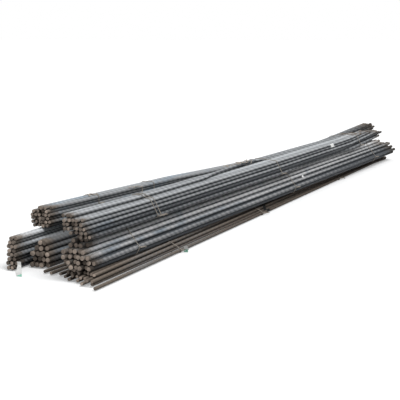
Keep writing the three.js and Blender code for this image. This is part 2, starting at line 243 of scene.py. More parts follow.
def edit(thing, mode, chosen):
    """Opens a mesh for editing with the elements chosen by a test on them selected."""
    pick(thing)
    bpy.ops.object.mode_set(mode="EDIT")
    bpy.ops.mesh.select_mode(type=mode)
    bpy.ops.mesh.select_all(action="DESELECT")
    bpy.ops.object.mode_set(mode="OBJECT")
    mesh = thing.data
    for element in {"VERT": mesh.vertices, "EDGE": mesh.edges, "FACE": mesh.polygons}[mode]:
        element.select = bool(chosen(element))
    bpy.ops.object.mode_set(mode="EDIT")


def close_edit():
    """Leaves edit mode."""
    bpy.ops.object.mode_set(mode="OBJECT")


def duplicate(thing):
    """A copy of a piece, with its own mesh."""
    pick(thing)
    bpy.ops.object.duplicate()
    return bpy.context.active_object


def join(pieces, name):
    """Joins pieces into the first one and names it."""
    pick(*pieces)
    if len(pieces) > 1:
        bpy.ops.object.join()
    whole = bpy.context.active_object
    whole.name = name
    whole.data.name = name
    return whole


def remove(*objects):
    for thing in objects:
        bpy.data.objects.remove(thing, do_unlink=True)


def bake_place(thing):
    """Puts a piece's place, turn and scale into its mesh."""
    pick(thing)
    bpy.ops.object.transform_apply(location=True, rotation=True, scale=True)


def points_of(mesh):
    """The corners of a mesh, one row each."""
    flat = np.empty(len(mesh.vertices) * 3)
    mesh.vertices.foreach_get("co", flat)
    return flat.reshape(-1, 3)


def set_points(mesh, points):
    """Moves the corners of a mesh."""
    mesh.vertices.foreach_set("co", np.ascontiguousarray(points, dtype=np.float64).ravel())
    mesh.update()


def write_attribute(mesh, name, values):
    """Keeps one value for each corner of a mesh, for its material to read."""
    layer = mesh.attributes.get(name) or mesh.attributes.new(name, "FLOAT", "POINT")
    layer.data.foreach_set("value", np.asarray(values, dtype=np.float32))


# ---- Reading the rows of the model -------------------------------------------------------


def end_faces(mesh, side):
    """Middle points of the bars' end faces on one side, from right to left."""
    points = points_of(mesh)
    groups = {}
    for face in mesh.polygons:
        if face.normal.x * side > 0.99:
            corners = points[list(face.vertices)]
            groups.setdefault(round(corners[0][0], 5), []).append(corners)
    middles = []
    for corners in groups.values():
        spread = np.concatenate(corners)
        middles.append((spread.min(axis=0) + spread.max(axis=0)) / 2)
    return sorted(middles, key=lambda middle: middle[1])


def bar_runs(node):
    """The centre line of every bar of a row, from right to left, and the bars' diameter."""
    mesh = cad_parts[node].data
    near, far = end_faces(mesh, -1), end_faces(mesh, 1)
    if len(near) != len(far):
        raise RuntimeError(f"{node}: {len(near)} near ends but {len(far)} far ends")
    points = points_of(mesh)
    places, counts = np.unique(points[:, 0].round(5), return_counts=True)
    ends = {round(middle[0], 5) for middle in near + far}
    first = points[np.abs(points[:, 0] - near[0][0]) < SAME_PLACE]
    diameter = first[:, 2].max() - first[:, 2].min()
    bends = []
    for place, count in zip(places, counts):
        if count >= 4 * len(near) and place not in ends:
            ring = points[np.abs(points[:, 0] - place) < SAME_PLACE]
            low, high = ring.min(axis=0), ring.max(axis=0)
            bends.append((place, low[1] + diameter / 2, high[1] - diameter / 2,
                          (low[2] + high[2]) / 2))
    runs = []
    for index, (start, end) in enumerate(zip(near, far)):
        share = index / max(1, len(near) - 1)
        middle = [(place, right + (left - right) * share, height)
                  for place, right, left, height in bends
                  if start[0] + END_CLEAR < place < end[0] - END_CLEAR]
        runs.append(np.array([tuple(start)] + middle + [tuple(end)]))
    return runs, diameter


def at_x(run, x):
    """[y, z] of a centre line at x."""
    return (np.interp(x, run[:, 0], run[:, 1]), np.interp(x, run[:, 0], run[:, 2]))


def facing(rows, row, index, diameter):
    """The way that an exposed bar looks out of its bundle, as an angle from +Y, or None."""
    here = rows[row][index]
    middle = (here[0][0] + here[-1][0]) / 2
    y = at_x(here, middle)[0]
    look = Vector((0.0, 0.0))
    if index == 0:
        look.x -= 1
    if index == len(rows[row]) - 1:
        look.x += 1
    above = rows[row + 1] if row + 1 < len(rows) else []
    if all(abs(at_x(run, middle)[0] - y) > diameter * COVERED for run in above):
        look.y += 1
    return math.atan2(look.y, look.x) if look.length > 0 else None


# ---- Materials ---------------------------------------------------------------------------


class Nodes:
    """Builds a material's node tree."""

    def __init__(self, name):
        old = bpy.data.materials.get(name)
        self.material = old or bpy.data.materials.new(name)
        self.material.use_nodes = True
        self.tree = self.material.node_tree
        self.tree.nodes.clear()
        self.output = self.add("ShaderNodeOutputMaterial")
        self.shader = self.add("ShaderNodeBsdfPrincipled")
        self.link(self.shader.outputs[0], self.output.inputs[0])

    def add(self, kind, **values):
        node = self.tree.nodes.new(kind)
        for key, value in values.items():
            setattr(node, key, value)
        return node

    def link(self, source, target):
        self.tree.links.new(source, target)

    def place(self, scale):
        """Object coordinates, stretched by a scale on each axis."""
        source = self.add("ShaderNodeTexCoord")
        mapping = self.add("ShaderNodeMapping")
        mapping.inputs["Scale"].default_value = scale
        self.link(source.outputs["Object"], mapping.inputs["Vector"])
        return mapping.outputs[0]

    def axes(self):
        """Object coordinates, one by one."""
        split = self.add("ShaderNodeSeparateXYZ")
        self.link(self.add("ShaderNodeTexCoord").outputs["Object"], split.inputs[0])
        return split.outputs

    def noise(self, scale, detail=4.0, roughness=0.6, stretch=(1, 1, 1)):
        """Cloudy noise, from 0 to 1."""
        node = self.add("ShaderNodeTexNoise")
        node.inputs["Scale"].default_value = scale
        node.inputs["Detail"].default_value = detail
        node.inputs["Roughness"].default_value = roughness
        self.link(self.place(stretch), node.inputs["Vector"])
        return node.outputs["Fac"]

    def attribute(self, name):
        return self.add("ShaderNodeAttribute", attribute_name=name).outputs["Fac"]

    def math(self, operation, a, b=0.0, clamp=False):
        node = self.add("ShaderNodeMath", operation=operation, use_clamp=clamp)
        for socket, value in zip(node.inputs, (a, b)):
            if isinstance(value, (int, float)):
                socket.default_value = value
            else:
                self.link(value, socket)
        return node.outputs[0]

    def total(self, *parts):
        """The sum of values, each times its weight."""
        result = 0.0
        for value, weight in parts:
            result = self.math("ADD", self.math("MULTIPLY", value, weight), result)
        return result

    def along(self, factor):
        """The place along the stack, times a factor."""
        return self.math("MULTIPLY", self.math("SUBTRACT", self.axes()["X"], CAD_BOX[0][0]), factor)

    def ramp(self, factor, *stops):
        """Goes through colours or values at the places given."""
        node = self.add("ShaderNodeValToRGB")
        band = node.color_ramp
        while len(band.elements) < len(stops):
            band.elements.new(0.5)
        for element, (place, color) in zip(band.elements, stops):
            element.position = place
            element.color = (*color, 1.0) if not isinstance(color, float) else (color,) * 3 + (1.0,)
        self.link(factor, node.inputs[0])
        return node.outputs[0]

    def mix(self, factor, a, b):
        """Goes from one colour to another."""
        node = self.add("ShaderNodeMix", data_type="RGBA")
        for socket, value in ((node.inputs[0], factor), (node.inputs[6], a), (node.inputs[7], b)):
            if isinstance(value, (int, float)):
                socket.default_value = value
            elif isinstance(value, tuple):
                socket.default_value = (*value, 1.0)
            else:
                self.link(value, socket)
        return node.outputs[2]

    def bump(self, height, strength, distance):
        node = self.add("ShaderNodeBump")
        node.inputs["Strength"].default_value = strength
        node.inputs["Distance"].default_value = distance
        self.link(height, node.inputs["Height"])
        self.link(node.outputs[0], self.shader.inputs["Normal"])

    def set(self, socket, value):
        """Gives the shader a value or a link."""
        target = self.shader.inputs[socket]
        if isinstance(value, (int, float)):
            target.default_value = value
        elif isinstance(value, tuple):
            target.default_value = (*value, 1.0)
        else:
            self.link(value, target)


# The steel of each bundle: how light it is, partly its own tone and partly painted light and shade
# for a bundle that lies lit or in shadow, how rusty, how much darker its lower rows are as painted shade,
# its level between dark and light, how strong its bands of painted rib shade and wear are, how much
# darker its topmost rows are as a painted shadow of a bundle above, and how much darker it gets
# between two shares of its length.
STEELS = {
    "top_front": {
        "light": 0.93, "rust": 0.22, "lower": 0.85, "level": 0.00, "bands": 0.20, "shade": 0.0,
        "far": 0.27, "fade": (0.05, 0.45)},
    "top_rear": {
        "light": 0.73, "rust": 0.30, "lower": 0.60, "level": 0.02, "bands": 0.20, "shade": 0.0,
        "far": 0.74, "fade": (0.35, 0.85)},
    "middle_front": {
        "light": 1.48, "rust": 0.28, "lower": 1.75, "level": 0.50, "bands": 0.14, "shade": 0.72,
        "far": 0.74, "fade": (0.45, 0.95)},
    "bottom_front": {
        "light": 0.51, "rust": 0.72, "lower": -0.15, "level": 0.00, "bands": 0.12, "shade": 0.0,
        "far": 0.52, "fade": (0.08, 0.40)},
    "lower_middle": {
        "light": 0.32, "rust": 0.26, "lower": 0.10, "level": 0.00, "bands": 0.20, "shade": 0.0,
        "far": 0.40, "fade": (0.45, 0.95)},
    "lower_rear": {
        "light": 1.08, "rust": 0.30, "lower": 1.10, "level": 0.18, "bands": 0.20, "shade": 0.0,
        "far": 0.40, "fade": (0.45, 0.95)},
}


def scaled(color, factor):
    """A colour made lighter or darker."""
    return tuple(min(1.0, channel * factor) for channel in color)


def rib_shade_bands(n):
    """Slanting bands, wider apart towards the far end: painted rib shade, and ribs rubbed bare in passing;
    0 to 1.
    """
    axes = n.axes()
    lean = n.math("MULTIPLY", n.math("SUBTRACT", axes["Z"], axes["Y"]), BAND_LEAN)
    along = n.math("ADD", n.along(1.0), lean)
    pitch = n.math("ADD", n.math("MULTIPLY", along, BAND_SPREAD / BAND_PITCH), 1.0)
    turns = n.math("MULTIPLY", n.math("LOGARITHM", n.math("MAXIMUM", pitch, 0.1), math.e), 1 / BAND_SPREAD)
    wander = n.noise(4.0, detail=2.0, roughness=0.5, stretch=(0.5, 2.0, 2.0))
    drift = n.total((n.attribute("tone"), 2.0), (wander, 5.0))
    wave = n.math("SINE", n.math("ADD", n.math("MULTIPLY", turns, 2 * math.pi), drift))
    return n.math("ADD", n.math("MULTIPLY", wave, 0.75), 0.5, clamp=True)


def dark_slant_mark(n):
    """A dark mark that crosses the bottom front bundle at a slant; 0 to 1."""
    axes = n.axes()
    slant = n.math("MULTIPLY", n.math("SUBTRACT", axes["Y"], MARK_PLACE[1]), MARK_SLANT)
    off = n.math("SUBTRACT", n.math("SUBTRACT", axes["X"], MARK_PLACE[0]), slant)
    return n.math("LESS_THAN", n.math("ABSOLUTE", off), MARK_WIDTH / 2)


def steel_material(bundle):
    """Mill scale: painted light on the crests and upper sides, painted shade where bars meet, brown with
    thin rust.
    """
    finish = bpy.context.scene.stack_finish
    steel = STEELS[bundle]
    n = Nodes(f"{bundle}_steel")
    # how light each bundle is: partly its own tone, partly painted light and shade for where it lies lit
    # or in shadow
    dark = scaled(finish.scale_dark, steel["light"])
    light = scaled(finish.scale_light, steel["light"])
    streaks = n.noise(14.0, detail=5.0, roughness=0.65, stretch=(0.35, 3.0, 3.0))
    blotches = n.noise(2.2, detail=4.0, roughness=0.6, stretch=(0.5, 2.0, 2.0))
    flakes = n.noise(60.0, detail=6.0, roughness=0.7, stretch=(0.6, 1.0, 1.0))
    far_half = n.ramp(n.along(1 / STACK_LENGTH), (steel["fade"][0], 0.0), (steel["fade"][1], 1.0))
    # painted shadow of the bundle above on the topmost rows, less towards the far end
    overhang_shadow = n.math("MULTIPLY", n.ramp(n.attribute("rise"), (0.65, 0.0), (0.92, 1.0)),
                       n.math("SUBTRACT", 1.0, far_half))
    tone = n.total(
        (n.attribute("tone"), 0.42), (streaks, 0.30), (blotches, 0.24), (rib_shade_bands(n), steel["bands"]),
        # painted highlight on the rib crests, and painted shade towards the bars that touch
        (n.attribute("crest"), CREST_HIGHLIGHT / max(1.0, steel["light"])), (n.attribute("painted_gap_light"), 0.56),
        # painted light on the bars' upper sides, and painted shadow on the topmost rows
        (n.attribute("painted_top_light"), 0.14), (overhang_shadow, -steel["shade"]),
        # painted shade on the lower rows and painted light on the upper ones
        (n.attribute("rise"), steel["lower"]), (far_half, -steel["far"]),
        (n.math("MULTIPLY", n.attribute("tone"), far_half), 0.5))
    # the rows are painted darker below the lit row share and lighter above it
    middle = TONE_MIDDLE + LIT_ROW * steel["lower"] - steel["level"]
    tone = n.math("MULTIPLY", n.math("SUBTRACT", tone, middle), TONE_CONTRAST)
    scale = n.ramp(tone, (0.0, dark), (1.0, light))
    tints = n.noise(3.1, detail=3.0, roughness=0.55, stretch=(0.45, 2.6, 2.6))
    tints = n.math("SUBTRACT", tints, n.math("MULTIPLY", far_half, 0.2))
    temper = n.mix(tone, scaled(finish.temper, 0.2), scaled(finish.temper, 1.7))
    scale = n.mix(n.ramp(tints, (0.56, 0.0), (0.70, 0.75)), scale, temper)
    near_end = n.ramp(n.attribute("reach"), (0.0, 0.60), (0.15, 0.28), (0.80, 0.0))
    rust = n.total((flakes, 0.75), (near_end, 1.0), (blotches, 0.3), (far_half, 0.19))
    rust = n.ramp(n.math("ADD", rust, steel["rust"] - 0.62), (0.42, 0.0), (0.75, 0.9))
    brown = n.mix(tone, scaled(finish.rust, 0.3), scaled(finish.rust, 1.2))
    color = n.mix(rust, scale, brown)
    if bundle == "bottom_front":
        color = n.mix(dark_slant_mark(n), color, scaled(finish.scale_dark, 0.25))
    n.set("Base Color", color)
    n.set("Metallic", 0.0)
    n.set("Specular IOR Level", 0.10)
    n.set("Roughness", n.ramp(n.math("ADD", rust, streaks), (0.3, 0.5), (1.0, 0.75)))
    n.bump(n.math("ADD", flakes, n.math("MULTIPLY", streaks, 0.5)), 0.35, 0.0006)
    return n.material


def cut_material():
    """Cropped end faces: torn, brown with rust, lighter where the steel broke clean."""
    finish = bpy.context.scene.stack_finish
    n = Nodes("cropped_end")
    grain = n.noise(150.0, detail=5.0, roughness=0.7)
    patches = n.noise(38.0, detail=3.0, roughness=0.55)
    tone = n.total((n.attribute("tone"), 0.5), (grain, 0.45), (patches, 0.45))
    n.set("Base Color", n.ramp(tone, (0.35, scaled(finish.cut_face, 0.3)),
                               (0.65, tuple(finish.cut_face)), (1.0, scaled(finish.cut_face, 1.9))))
    n.set("Metallic", 0.0)
    n.set("Roughness", 0.7)
    n.bump(n.math("ADD", grain, patches), 0.6, 0.0015)
    return n.material


def wire_material(name, light):
    """Annealed wire, spotted with rust."""
    finish = bpy.context.scene.stack_finish
    n = Nodes(name)
    spots = n.noise(90.0, detail=4.0, roughness=0.6)
    n.set("Base Color", n.ramp(spots, (0.35, scaled(finish.wire, 0.7 * light)),
                               (0.7, scaled(finish.wire, 1.5 * light))))
    n.set("Metallic", 0.1)
    n.set("Roughness", 0.55)
    n.bump(spots, 0.3, 0.0004)
    return n.material


def card_material(name, axis, low, high, green):
    """Creased card, green over a share of its width along an axis and white over the rest."""
    finish = bpy.context.scene.stack_finish
    n = Nodes(name)
    creases = n.noise(45.0, detail=5.0, roughness=0.6)
    dirt = n.noise(16.0, detail=4.0, roughness=0.65)
    across = n.math("SUBTRACT", n.axes()[axis], low[axis])
    share = n.math("MULTIPLY", across, 1 / (high[axis] - low[axis]))
    edge = n.math("ADD", n.math("MULTIPLY", creases, 0.3), green - 0.15)
    folded = n.math("LESS_THAN", share, edge)
    white = n.ramp(dirt, (0.3, scaled(finish.card, 0.8)), (0.62, tuple(finish.card)))
    n.set("Base Color", n.mix(folded, white, tuple(finish.card_back)))
    n.set("Roughness", 0.45)
    n.set("Specular IOR Level", 0.4)
    n.bump(creases, 0.4, 0.001)
    return n.material


# ---- Bars --------------------------------------------------------------------------------


def is_lengthways(bar, edge, length):
    """Whether an edge of a bar runs from end to end."""
    first, second = (bar.data.vertices[corner].co.x for corner in edge.vertices)
    return abs(first - second) > length / 2


def bar_wall(diameter, length, steel):
    """A plain bar lying along X round the origin, with two lengthways ridges and chamfered ends."""
    form = bpy.context.scene.stack_bars
    radius = diameter * form.core / 2
    bpy.ops.object.select_all(action="DESELECT")
    bpy.ops.mesh.primitive_cylinder_add(
        vertices=form.sides, radius=radius, depth=length, rotation=(0, math.pi / 2, 0))
    bar = bpy.context.active_object
    bake_place(bar)
    edit(bar, "EDGE", lambda edge: not is_lengthways(bar, edge, length))
    bpy.ops.mesh.bevel(offset=diameter * CHAMFER, segments=1, affect="EDGES")
    close_edit()
    edit(bar, "EDGE", lambda edge: is_lengthways(bar, edge, length))
    bpy.ops.mesh.subdivide(number_cuts=SECTIONS - 1)
    close_edit()
    inner = length / 2 - diameter * CHAMFER * 0.8
    edit(bar, "VERT", lambda vertex: abs(vertex.co.z) > radius * CROWN and abs(vertex.co.x) < inner)
    rise = 1 + form.rib_height * RIDGE_HEIGHT / form.core
    bpy.ops.transform.resize(value=(1, 1, rise), center_override=(0, 0, 0))
    close_edit()
    bar.data.materials.append(steel)
    bar.data.materials.append(cut_material())
    edit(bar, "FACE", lambda face: abs(face.normal.x) > 0.95)
    bar.active_material_index = 1
    bpy.ops.object.material_slot_assign()
    close_edit()
    return bar


def rib_strip(diameter, start, count, steel):
    """Crescent ribs along the +Y side of a bar, leaning one way."""
    form = bpy.context.scene.stack_bars
    radius = diameter * form.core / 2
    pitch = diameter * form.rib_pitch
    section = diameter * (form.rib_height + RIB_SUNK) / TRIANGLE_HEIGHT
    base = radius - diameter * RIB_SUNK
    stretch = pitch * form.rib_width / (section * TRIANGLE_SIDE)
    bpy.ops.object.select_all(action="DESELECT")
    bpy.ops.mesh.primitive_circle_add(
        vertices=3, radius=section, fill_type="NGON", location=(0, base + section / 2, 0))
    rib = bpy.context.active_object
    bake_place(rib)
    edit(rib, "FACE", lambda face: True)
    bpy.ops.transform.resize(value=(stretch, 1, 1), center_override=(0, 0, 0))
    bpy.ops.transform.rotate(value=RIB_ARC / 2, orient_axis="X", center_override=(0, 0, 0))
    bpy.ops.mesh.spin(steps=RIB_STEPS, angle=-RIB_ARC, center=(0, 0, 0), axis=(1, 0, 0))
    close_edit()
    if min(vertex.co.y for vertex in rib.data.vertices) < 0:
        raise RuntimeError("the rib was spun the wrong way round the bar")
    tip = max(vertex.co.z for vertex in rib.data.vertices) * RIB_TIP
    for side in (-1, 1):
        edit(rib, "VERT", lambda vertex: vertex.co.z * side > tip)
        bpy.ops.mesh.merge(type="CENTER")
        close_edit()
    edit(rib, "FACE", lambda face: True)
    bpy.ops.mesh.normals_make_consistent(inside=False)
    bpy.ops.transform.rotate(value=-form.rib_lean, orient_axis="Y", center_override=(0, 0, 0))
    bpy.ops.transform.translate(value=(start, 0, 0))
    close_edit()
    array = rib.modifiers.new("along", "ARRAY")
    array.count = count
    array.use_relative_offset = False
    array.use_constant_offset = True
    array.constant_offset_displace = (pitch, 0, 0)
    bpy.ops.object.modifier_apply(modifier=array.name)
    rib.data.materials.append(steel)
    return rib


def half_turn(strip):
    """Turns a strip of ribs to the other side of its bar."""
    edit(strip, "FACE", lambda face: True)
    bpy.ops.transform.rotate(value=math.pi, orient_axis="X", center_override=(0, 0, 0))
    close_edit()


def bar_masters(diameter, length, steel):
    """One bar with ribs all along its +Y side, and one with ribs only near its ends."""
    pitch = diameter * bpy.context.scene.stack_bars.rib_pitch
    first = -length / 2 + pitch
    every = int((length - 1.5 * pitch) / pitch)
    full = rib_strip(diameter, first, every, steel)
    near = rib_strip(diameter, first + pitch / 2, END_RIBS, steel)
    far = rib_strip(diameter, -first - pitch / 2 - END_RIBS * pitch, END_RIBS, steel)
    for strip in (near, far):
        half_turn(strip)
    tips = [duplicate(strip) for strip in (near, far)]
    for strip in tips:
        half_turn(strip)
    ribbed = join([bar_wall(diameter, length, steel), full, duplicate(near), duplicate(far)], "ribbed_bar")
    plain = join([bar_wall(diameter, length, steel), near, far] + tips, "plain_bar")
    for bar in (ribbed, plain):
        pick(bar)
        bpy.ops.object.shade_smooth_by_angle(angle=math.radians(40))
    return ribbed, plain


def openness(across, x, run, neighbours, diameter):
    """How far each point of a bar looks away from the bars that it touches, from 0 to 1."""
    look = across / np.maximum(np.hypot(across[:, 0], across[:, 1]), 1e-6)[:, None]
    centre = np.stack(at_x(run, x), axis=1)
    hidden = np.zeros(len(x))
    for other in neighbours:
        gap = np.stack(at_x(other, x), axis=1) - centre
        distance = np.hypot(gap[:, 0], gap[:, 1])
        toward = np.maximum(0.0, (look * gap).sum(axis=1) / np.maximum(distance, 1e-6))
        beside = (x > other[0][0]) & (x < other[-1][0])
        hidden += toward ** 2 * np.clip(2.0 - distance / diameter, 0.0, 1.0) * beside
    return np.clip(1.0 - hidden, 0.0, 1.0)


def lay_bar(master, run, neighbours, diameter, length, roll, chance):
    """A copy of a bar, rolled about its axis and laid along its centre line."""
    form = bpy.context.scene.stack_bars
    bar = duplicate(master)
    mesh = bar.data
    points = points_of(mesh)
    core = diameter * form.core / 2
    crest = np.clip((np.hypot(points[:, 1], points[:, 2]) - core) / (diameter * form.rib_height), 0, 1)
    turn = np.array([[math.cos(roll), -math.sin(roll)], [math.sin(roll), math.cos(roll)]])
    points[:, 1:] = points[:, 1:] @ turn.T
    start, end = run[0][0], run[-1][0]
    share = points[:, 0] / length + 0.5
    x = start + share * (end - start)
    for is_end in (share < END_SHARE, share > 1 - END_SHARE):
        slant = math.tan(chance.uniform(-1, 1) * form.shear)
        angle = chance.uniform(0, math.pi)
        tilt = slant * (points[:, 1] * math.cos(angle) + points[:, 2] * math.sin(angle))
        x = np.where(is_end, x + tilt, x)
    # painted shade: how much the steel is darkened towards the bars that it touches
    clear = openness(points[:, 1:], x, run, neighbours, diameter)
    # painted light: the upper side of each bar is made lighter in its material
    painted_top_light = points[:, 2] / core
    wave = [form.sway * size * np.sin(2 * math.pi * share * count + chance.uniform(0, WAVE_TURN))
            for size, count in SWAY_WAVES]
    y, z = at_x(run, x)
    points[:, 1] += y + wave[0] + wave[1]
    points[:, 2] += z + wave[2] + wave[3]
    points[:, 0] = x
    set_points(mesh, points)
    write_attribute(mesh, "tone", np.full(len(points), chance.random()))
    write_attribute(mesh, "reach", np.minimum(share, 1 - share) * length)
    write_attribute(mesh, "crest", crest)
    write_attribute(mesh, "painted_gap_light", clear ** GAP_SHADE_FALLOFF)
    write_attribute(mesh, "painted_top_light", painted_top_light)
    return bar


class STACK_OT_add_bars(bpy.types.Operator):
    """Replace one bundle's rows with separate ribbed bars"""

    bl_idname = "stack.add_bars"
    bl_label = "Add bars"
    bl_options = {"REGISTER", "UNDO"}

    bundle: bpy.props.EnumProperty(
        name="Bundle", description="Bundle whose bars are made",
        items=[(name, name.replace("_", " ").capitalize(), "Bars of this bundle") for name in BUNDLES])

    def execute(self, context):
        names = sorted((name for name in ROWS if name.startswith(self.bundle + "_row_")),
                       key=lambda name: int(name.rsplit("_", 1)[1]))
        read = [bar_runs(name) for name in names]
        rows = [runs for runs, _ in read]
        diameter = read[0][1]
        length = float(np.mean([run[-1][0] - run[0][0] for row in rows for run in row]))
        ribbed, plain = bar_masters(diameter, length, steel_material(self.bundle))
        for number, name in enumerate(names):
            chance = random.Random(name)
            bars = []
            for index, run in enumerate(rows[number]):
                look = facing(rows, number, index, diameter)
                if look is None:
                    master, turn = plain, chance.uniform(0, 2 * math.pi)
                else:
                    master, turn = ribbed, look + chance.uniform(-ROLL_SPREAD, ROLL_SPREAD)
                neighbours = [other for near in rows[max(0, number - 1):number + 2] for other in near
                              if other is not run]
                bars.append(lay_bar(master, run, neighbours, diameter, length, turn, chance))
            piece = join(bars, f"{name}_bars")
            rise = number / (len(names) - 1)
            write_attribute(piece.data, "rise", np.full(len(piece.data.vertices), rise))
            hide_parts(name)
            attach(piece, "root")
        remove(ribbed, plain)
        return {"FINISHED"}


# ---- Wire ties ---------------------------------------------------------------------------


def hull(points):
    """Convex outline of points in a plane, anticlockwise."""
    ordered = sorted(map(tuple, points))

    def half(walk):
        edge = []
        for point in walk:
            while len(edge) > 1 and ((edge[-1][0] - edge[-2][0]) * (point[1] - edge[-2][1])
                                     - (edge[-1][1] - edge[-2][1]) * (point[0] - edge[-2][0])) <= 0:
                edge.pop()
            edge.append(point)
        return edge[:-1]

    return half(ordered) + half(ordered[::-1])


def wire_mesh(paths, name, closed, steel):
    """Round wire along each list of points, of which the first may be a loop."""
    pieces = []
    for index, path in enumerate(paths):
        curve = bpy.data.curves.new(name, "CURVE")
        curve.dimensions = "3D"
        spline = curve.splines.new("POLY")
        spline.points.add(len(path) - 1)
        for point, place in zip(spline.points, path):
            point.co = (*place, 1.0)
        spline.use_cyclic_u = closed and index == 0
        curve.bevel_depth = WIRE_RADIUS
        curve.bevel_resolution = 2
        curve.use_fill_caps = True
        wire = bpy.data.objects.new(name, curve)
        bpy.context.collection.objects.link(wire)
        pick(wire)
        bpy.ops.object.convert(target="MESH")
        pieces.append(bpy.context.active_object)
    piece = join(pieces, name)
    piece.data.materials.clear()
    piece.data.materials.append(steel)
    pick(piece)
    bpy.ops.object.shade_smooth_by_angle(angle=math.radians(50))
    return piece


def tie_paths(node, rows, diameter):
    """The loop of a tie round the bars that it crosses, and the two strands of its tail."""
    chance = random.Random(node)
    points = points_of(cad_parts[node].data)
    x = points[:, 0].min() + WIRE_RADIUS
    tip = points[points[:, 0] > points[:, 0].max() - TAIL_DEPTH].mean(axis=0)
    reach = diameter / 2 + WIRE_CLEARANCE + WIRE_RADIUS
    turns = [step * math.pi / (LOOP_STEPS / 2) for step in range(LOOP_STEPS)]
    around = [(y + reach * math.cos(turn), z + reach * math.sin(turn))
              for row in rows for run in row if run[0][0] < x < run[-1][0]
              for y, z in [at_x(run, x)] for turn in turns]
    loop = []
    outline = hull(around)
    for index, here in enumerate(outline):
        after = outline[(index + 1) % len(outline)]
        spans = int(math.dist(here, after) / SPAN_STEP) + 1
        loop.append((x + chance.uniform(-1, 1) * LOOP_KINK, *here))
        for cut in range(1, spans):
            share = cut / spans
            y, z = (near + (far - near) * share for near, far in zip(here, after))
            loop.append((x + chance.uniform(-1, 1) * SPAN_KINK, y, z))
    right = min(outline)[0]
    root = Vector((x, right - WIRE_RADIUS, tip[2]))
    way = Vector(tip) - root
    across = way.cross(Vector((0, 0, 1))).normalized()
    up = across.cross(way).normalized()
    strands = []
    for side in (0, math.pi):
        strand = []
        for step in range(TAIL_STEPS + 1):
            share = step / TAIL_STEPS
            spread = WIRE_RADIUS * (1.02 + 1.6 * max(0.0, share - TAIL_SPLAY) * 5)
            turn = side + share * TAIL_TURNS * math.pi * 2
            off = (across * math.cos(turn) + up * math.sin(turn)) * spread
            strand.append(tuple(root + way * share + off))
        strands.append(strand)
    return [loop] + strands


class STACK_OT_add_ties(bpy.types.Operator):
    """Replace the ties with round wire drawn over the bars and twisted shut"""

    bl_idname = "stack.add_ties"
    bl_label = "Add ties"
    bl_options = {"REGISTER", "UNDO"}

    def execute(self, context):
        steel = wire_material("annealed_wire", 1.0)
        for bundle in BUNDLES:
            read = [bar_runs(name) for name in ROWS if name.startswith(bundle + "_row_")]
            rows = [runs for runs, _ in read]
            for node in (name for name in TIES if name.startswith(bundle + "_tie_")):
                paths = tie_paths(node, rows, read[0][1])
                piece = wire_mesh(paths, f"{node}_wire", True, steel)
                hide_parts(node)
                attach(piece, "root")
        return {"FINISHED"}


# ---- Tags --------------------------------------------------------------------------------


class STACK_OT_add_tags(bpy.types.Operator):
    """Give the card tag and the long label their finish"""

    bl_idname = "stack.add_tags"
    bl_label = "Add tags"
    bl_options = {"REGISTER", "UNDO"}

    def execute(self, context):
        for node, axis, green in (("bottom_front_tag", 2, 0.45), ("lower_rear_label", 1, 0.30)):
            low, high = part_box(node)
            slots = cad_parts[node].data.materials
            slots.clear()
            slots.append(card_material(f"{node}_card", axis, low, high, green))
        return {"FINISHED"}


# ---- Loose wire --------------------------------------------------------------------------


def height_over(bars, x, y):
    """The height of the bars' upper surface at a place."""
    best = 0.0
    for run, diameter in bars:
        if run[0][0] < x < run[-1][0]:
            middle, height = at_x(run, x)
            off = abs(y - middle)
            if off < diameter * 0.8:
                best = max(best, height + math.sqrt(max(0.0, diameter ** 2 / 4 - off ** 2)))
    return best


def curl(bars, start, end, width, turns, chance):
    """A wire that curls from one place to another, bridging the gaps between the bars below it."""
    places = []
    steps = turns * CURL_STEPS
    for step in range(steps + 1):
        share = step / steps
        angle = share * turns * 2 * math.pi
        swing = width * (0.6 + 0.4 * math.sin(angle * 0.37))
        x = start[0] + (end[0] - start[0]) * share + swing * 1.6 * math.sin(angle)
        y = start[1] + (end[1] - start[1]) * share + swing * math.cos(angle)
        spring = CURL_SPRING * (1 + math.sin(angle * 1.3)) * chance.uniform(0.8, 1.0)
        places.append((x, y, height_over(bars, x, y), spring))
    half = CURL_STEPS // 2
    bridged = [max(near[2] for near in places[max(0, index - half):index + half]) + here[3]
               for index, here in enumerate(places)]
    drop = min(z - here[2] for z, here in zip(bridged, places)) - WIRE_RADIUS - RIB_LIFT
    return [(here[0], here[1], z - drop) for z, here in zip(bridged, places)]


def bars_of(*bundles):
    """The centre line and diameter of every bar of some bundles."""
    bars = []
    for name in (name for name in ROWS if name.split("_row_")[0] in bundles):
        runs, diameter = bar_runs(name)
        bars.extend((run, diameter) for run in runs)
    return bars


